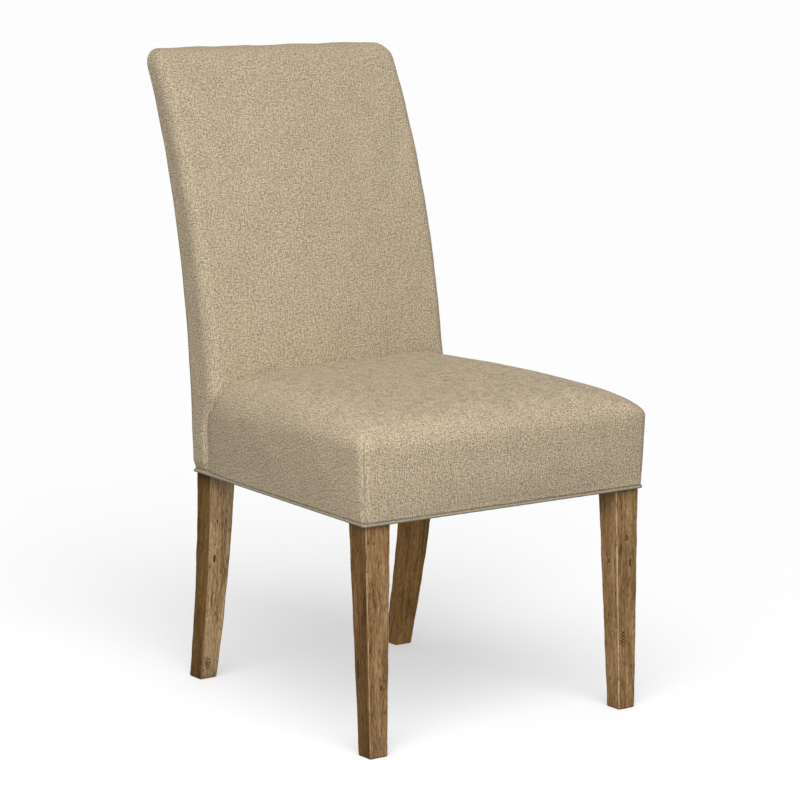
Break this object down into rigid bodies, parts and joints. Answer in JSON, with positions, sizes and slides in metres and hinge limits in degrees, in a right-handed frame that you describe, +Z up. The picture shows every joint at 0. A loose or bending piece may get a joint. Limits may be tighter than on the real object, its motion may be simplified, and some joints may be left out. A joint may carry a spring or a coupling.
{
  "type": "dining chair",
  "caption": "Armless upholstered dining chair with a tall slightly raked back, crowned seat, welted lower edge and tapered timber legs, the rear pair splayed.",
  "frame": {"origin": "centre of the chair's bounding box in plan, at floor level", "axes": "+Z up, the seat's front faces -Y, +X to the chair's right as seen from the front"},
  "size_m": [0.506, 0.6266, 0.956],
  "materials": {
    "cover_cloth": "beige linen-look plain weave with slubs, matt",
    "welt_cloth": "self welt of the same cloth, a little greyer",
    "leg_wood": "weathered medium brown wood, open vertical grain, small dark knots, worn arrises",
    "frame_wood": "plain unfinished hardwood, hidden",
    "foam": "cut polyurethane foam, hidden",
    "batting": "polyester wadding, hidden",
    "webbing": "woven jute webbing, hidden",
    "dust_cloth": "black non-woven cloth under the seat",
    "tack_board": "cardboard tacking strip, hidden",
    "screw_steel": "countersunk wood screws, hidden"
  },
  "bodies": {
    "root": {"front_leg_left": "leg_wood", "rear_post_left": "leg_wood", "side_rail_left": "frame_wood", "corner_block_front_left": "frame_wood", "corner_block_rear_left": "frame_wood", "block_screw_front_rail_left": "screw_steel", "block_screw_front_side_left": "screw_steel", "block_screw_rear_rail_left": "screw_steel", "block_screw_rear_side_left": "screw_steel", "front_leg_right": "leg_wood", "rear_post_right": "leg_wood", "side_rail_right": "frame_wood", "corner_block_front_right": "frame_wood", "corner_block_rear_right": "frame_wood", "block_screw_front_rail_right": "screw_steel", "block_screw_front_side_right": "screw_steel", "block_screw_rear_rail_right": "screw_steel", "block_screw_rear_side_right": "screw_steel", "front_rail": "frame_wood", "rear_rail": "frame_wood", "lower_back_rail": "frame_wood", "middle_back_rail": "frame_wood", "crest_rail": "frame_wood", "seat_strap_long_1": "webbing", "seat_strap_long_2": "webbing", "seat_strap_long_3": "webbing", "seat_strap_cross_1": "webbing", "seat_strap_cross_2": "webbing", "seat_strap_cross_3": "webbing", "back_strap_1": "webbing", "back_strap_2": "webbing", "back_strap_3": "webbing", "seat_foam": "foam", "seat_batting": "batting", "seat_cover": "cover_cloth", "back_foam": "foam", "back_batting": "batting", "inside_back_cover": "cover_cloth", "outside_back_panel": "cover_cloth", "back_tack_strip": "tack_board", "bottom_welt": "welt_cloth", "dust_cover": "dust_cloth"}
  },
  "joints": []
}
